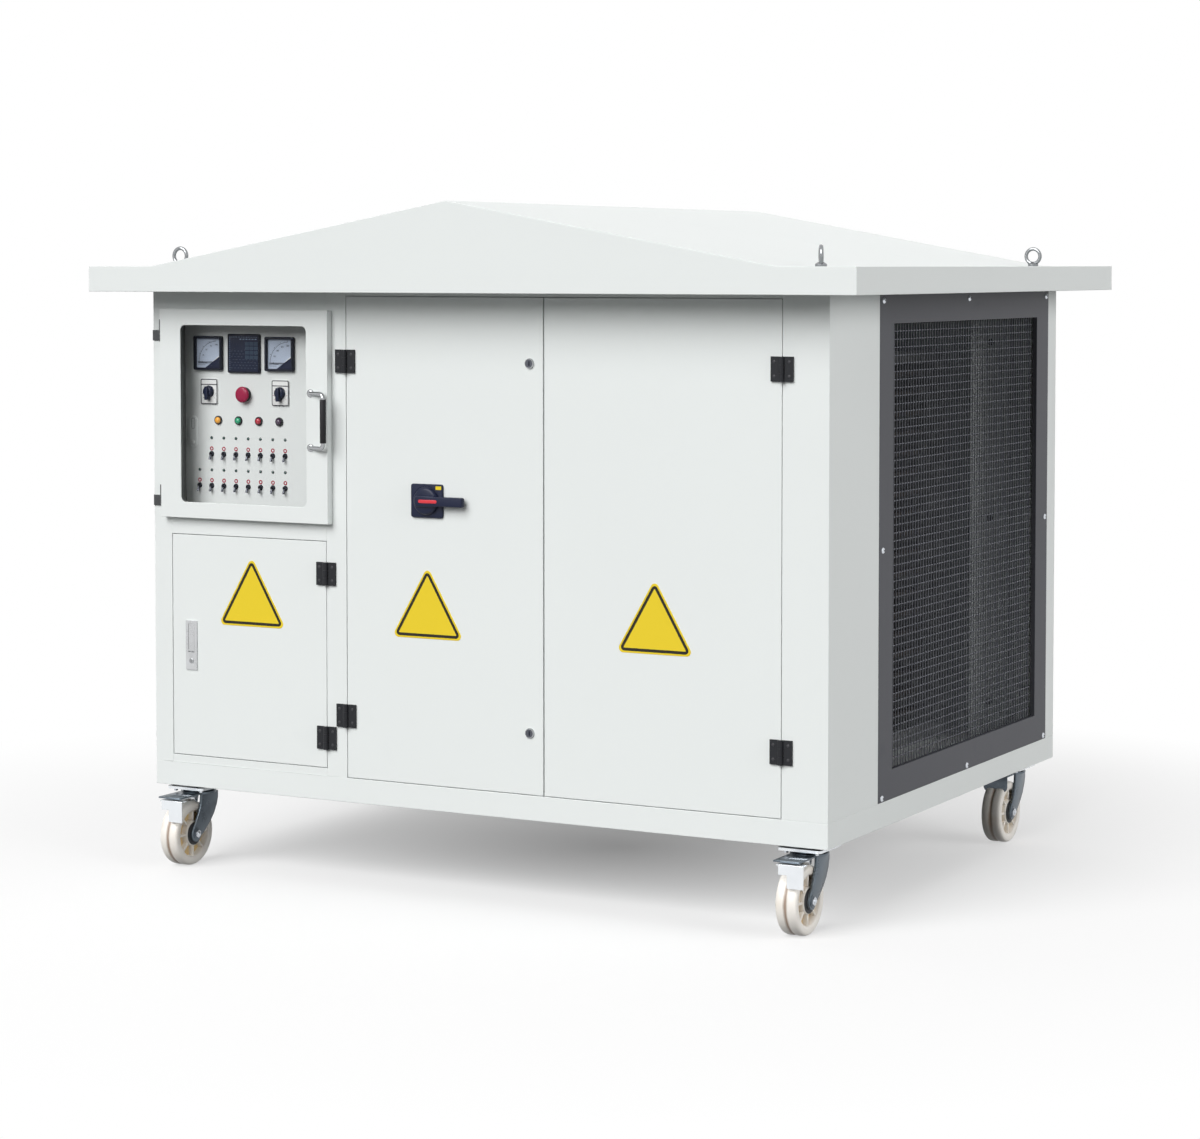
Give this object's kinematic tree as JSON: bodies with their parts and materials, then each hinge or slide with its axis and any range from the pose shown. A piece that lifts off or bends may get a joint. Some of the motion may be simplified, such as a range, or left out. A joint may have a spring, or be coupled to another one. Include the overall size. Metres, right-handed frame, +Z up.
{
  "type": "generator load bank",
  "caption": "Wheeled resistive load bank cabinet with gabled roof, hinged front doors, glazed control bay, side air grilles and fan.",
  "frame": {"origin": "centre of the footprint on the floor", "axes": "+X right along the front, +Y to the rear, +Z up"},
  "size_m": [1.96, 1.59, 1.563],
  "materials": {
    "body_paint": "powder coat, fine texture",
    "grille_paint": "dark grey powder coat",
    "zinc": "bright zinc plate",
    "black_metal": "black, satin",
    "chrome": "polished",
    "nylon": "cast nylon",
    "black_plastic": "moulded, satin",
    "red_plastic": "moulded, gloss",
    "lens_plastic": "coloured lens",
    "panel_plate": "brushed plate",
    "clear": "clear sheet",
    "steel": "galvanised",
    "copper": "bare copper bar",
    "element": "heat-stained finned strip",
    "grip": "grip sleeve",
    "cast": "painted casting"
  },
  "bodies": {
    "cabinet": {"base_frame": "body_paint", "cable_terminals": "copper", "caster_plates": "zinc", "fan_motor": "cast", "fan_plate": "steel", "fan_ring": "steel", "front_frame": "body_paint", "grille_frames": "grille_paint", "grille_meshes": "grille_paint", "hinge_leaves": "black_metal", "lifting_eyes": "zinc", "mounting_plate": "steel", "partition": "body_paint", "rear_panel": "body_paint", "resistor_elements": "element", "resistor_rack": "steel", "roof_canopy": "body_paint", "side_frames": "body_paint", "switchgear": "black_plastic"},
    "window_leaf": {"window_door": "body_paint", "window_pane": "clear", "door_handle": "chrome", "handle_grip": "grip", "window_door_hinges": "chrome"},
    "panel": {"control_panel": "body_paint", "panel_instruments": "black_plastic", "switch_bodies": "black_plastic", "indicator_lamps": "lens_plastic"},
    "left_needle": {"left_needle": "black_metal"},
    "right_needle": {"right_needle": "black_metal"},
    "left_selector": {"left_selector": "black_plastic"},
    "right_selector": {"right_selector": "black_plastic"},
    "estop_button": {"estop_button": "red_plastic"},
    "upper_toggles": {"upper_toggles": "zinc"},
    "lower_toggles": {"lower_toggles": "zinc"},
    "cable_leaf": {"cable_door": "body_paint", "cable_door_hinges": "black_metal", "flush_lock": "zinc"},
    "lock_flap": {"lock_flap": "zinc"},
    "lock_button": {"lock_button": "zinc"},
    "middle_leaf": {"middle_door": "body_paint", "middle_door_hinges": "black_metal", "disconnect_plate": "panel_plate"},
    "upper_lock": {"upper_lock": "chrome"},
    "lower_lock": {"lower_lock": "chrome"},
    "disconnect_handle": {"disconnect_handle": "black_plastic"},
    "breaker_shaft": {"breaker_shaft": "steel"},
    "right_leaf": {"right_door": "body_paint", "right_door_hinges": "black_metal"},
    "fan_impeller": {"fan_impeller": "cast"},
    "front_left_fork": {"front_left_fork": "zinc"},
    "front_left_wheel": {"front_left_wheel": "nylon"},
    "front_right_fork": {"front_right_fork": "zinc"},
    "front_right_wheel": {"front_right_wheel": "nylon"},
    "rear_left_fork": {"rear_left_fork": "zinc"},
    "rear_left_wheel": {"rear_left_wheel": "nylon"},
    "rear_right_fork": {"rear_right_fork": "zinc"},
    "rear_right_wheel": {"rear_right_wheel": "nylon"},
    "front_left_pedal": {"front_left_pedal": "zinc"},
    "front_right_pedal": {"front_right_pedal": "zinc"}
  },
  "joints": [
    {"name": "window_door_hinge", "type": "hinge", "parent": "cabinet", "child": "window_leaf", "pos_m": [-0.8457, -0.6938, 1.074], "axis": [0, 0, -1], "range_deg": [0, 120]},
    {"name": "control_panel_hinge", "type": "hinge", "parent": "cabinet", "child": "panel", "pos_m": [-0.404, -0.637, 1.074], "axis": [0, 0, 1], "range_deg": [0, 30]},
    {"name": "left_needle_pivot", "type": "hinge", "parent": "panel", "child": "left_needle", "pos_m": [-0.72285, -0.646, 1.194], "axis": [0, 1, 0], "range_deg": [0, 90]},
    {"name": "right_needle_pivot", "type": "hinge", "parent": "panel", "child": "right_needle", "pos_m": [-0.52035, -0.646, 1.194], "axis": [0, 1, 0], "range_deg": [0, 90]},
    {"name": "left_selector_turn", "type": "hinge", "parent": "panel", "child": "left_selector", "pos_m": [-0.74385, -0.646, 1.124], "axis": [0, 1, 0], "range_deg": [-45, 45]},
    {"name": "right_selector_turn", "type": "hinge", "parent": "panel", "child": "right_selector", "pos_m": [-0.54135, -0.646, 1.124], "axis": [0, 1, 0], "range_deg": [-45, 45]},
    {"name": "estop_press", "type": "slide", "parent": "panel", "child": "estop_button", "axis": [0, 1, 0], "range_m": [0, 0.004]},
    {"name": "upper_toggle_throw", "type": "hinge", "parent": "panel", "child": "upper_toggles", "pos_m": [-0.6426, -0.643, 0.977], "axis": [-1, 0, 0], "range_deg": [0, 40]},
    {"name": "lower_toggle_throw", "type": "hinge", "parent": "panel", "child": "lower_toggles", "pos_m": [-0.6426, -0.643, 0.902], "axis": [-1, 0, 0], "range_deg": [0, 40]},
    {"name": "cable_door_hinge", "type": "hinge", "parent": "cabinet", "child": "cable_leaf", "pos_m": [-0.386, -0.6943, 0.5265], "axis": [0, 0, 1], "range_deg": [0, 90]},
    {"name": "lock_flap_pivot", "type": "hinge", "parent": "cable_leaf", "child": "lock_flap", "pos_m": [-0.767, -0.6882, 0.5136], "axis": [1, 0, 0], "range_deg": [0, 30]},
    {"name": "lock_button_press", "type": "slide", "parent": "cable_leaf", "child": "lock_button", "axis": [0, 1, 0], "range_m": [0, 0.003]},
    {"name": "middle_door_hinge", "type": "hinge", "parent": "cabinet", "child": "middle_leaf", "pos_m": [-0.332, -0.6943, 0.803], "axis": [0, 0, -1], "range_deg": [0, 90]},
    {"name": "right_door_hinge", "type": "hinge", "parent": "cabinet", "child": "right_leaf", "pos_m": [0.765, -0.6943, 0.803], "axis": [0, 0, 1], "range_deg": [0, 120]},
    {"name": "lower_lock_turn", "type": "hinge", "parent": "middle_leaf", "child": "lower_lock", "pos_m": [0.151, -0.688, 0.385], "axis": [0, -1, 0], "range_deg": [0, 90]},
    {"name": "upper_lock_turn", "type": "hinge", "parent": "middle_leaf", "child": "upper_lock", "pos_m": [0.151, -0.688, 1.205], "axis": [0, -1, 0], "range_deg": [0, 90]},
    {"name": "disconnect_turn", "type": "hinge", "parent": "middle_leaf", "child": "disconnect_handle", "pos_m": [-0.113, -0.688, 0.892], "axis": [0, -1, 0], "range_deg": [0, 90]},
    {"name": "breaker_shaft_turn", "type": "hinge", "parent": "cabinet", "child": "breaker_shaft", "pos_m": [-0.113, -0.5575, 0.892], "axis": [0, -1, 0], "range_deg": [0, 90]},
    {"name": "fan_spin", "type": "hinge", "parent": "cabinet", "child": "fan_impeller", "pos_m": [-0.635, 0.105, 0.803], "axis": [1, 0, 0], "continuous": true},
    {"name": "front_left_swivel", "type": "hinge", "parent": "cabinet", "child": "front_left_fork", "pos_m": [-0.8, -0.62, 0.1697], "axis": [0, 0, 1], "continuous": true},
    {"name": "front_left_roll", "type": "hinge", "parent": "front_left_fork", "child": "front_left_wheel", "pos_m": [-0.8, -0.67, 0.075], "axis": [1, 0, 0], "continuous": true},
    {"name": "front_left_brake", "type": "hinge", "parent": "front_left_fork", "child": "front_left_pedal", "pos_m": [-0.8, -0.656, 0.156], "axis": [1, 0, 0], "range_deg": [0, 5]},
    {"name": "front_right_swivel", "type": "hinge", "parent": "cabinet", "child": "front_right_fork", "pos_m": [0.8, -0.62, 0.1697], "axis": [0, 0, 1], "continuous": true},
    {"name": "front_right_roll", "type": "hinge", "parent": "front_right_fork", "child": "front_right_wheel", "pos_m": [0.8, -0.67, 0.075], "axis": [1, 0, 0], "continuous": true},
    {"name": "front_right_brake", "type": "hinge", "parent": "front_right_fork", "child": "front_right_pedal", "pos_m": [0.8, -0.656, 0.156], "axis": [1, 0, 0], "range_deg": [0, 5]},
    {"name": "rear_left_swivel", "type": "hinge", "parent": "cabinet", "child": "rear_left_fork", "pos_m": [-0.8, 0.57, 0.1697], "axis": [0, 0, 1], "continuous": true},
    {"name": "rear_left_roll", "type": "hinge", "parent": "rear_left_fork", "child": "rear_left_wheel", "pos_m": [-0.8, 0.52, 0.075], "axis": [1, 0, 0], "continuous": true},
    {"name": "rear_right_swivel", "type": "hinge", "parent": "cabinet", "child": "rear_right_fork", "pos_m": [0.8, 0.57, 0.1697], "axis": [0, 0, 1], "continuous": true},
    {"name": "rear_right_roll", "type": "hinge", "parent": "rear_right_fork", "child": "rear_right_wheel", "pos_m": [0.8, 0.52, 0.075], "axis": [1, 0, 0], "continuous": true}
  ],
  "couplings": [
    {"joint": "control_panel_hinge", "follows": "window_door_hinge", "ratio": 0.25},
    {"joint": "breaker_shaft_turn", "follows": "disconnect_turn", "ratio": 1}
  ]
}
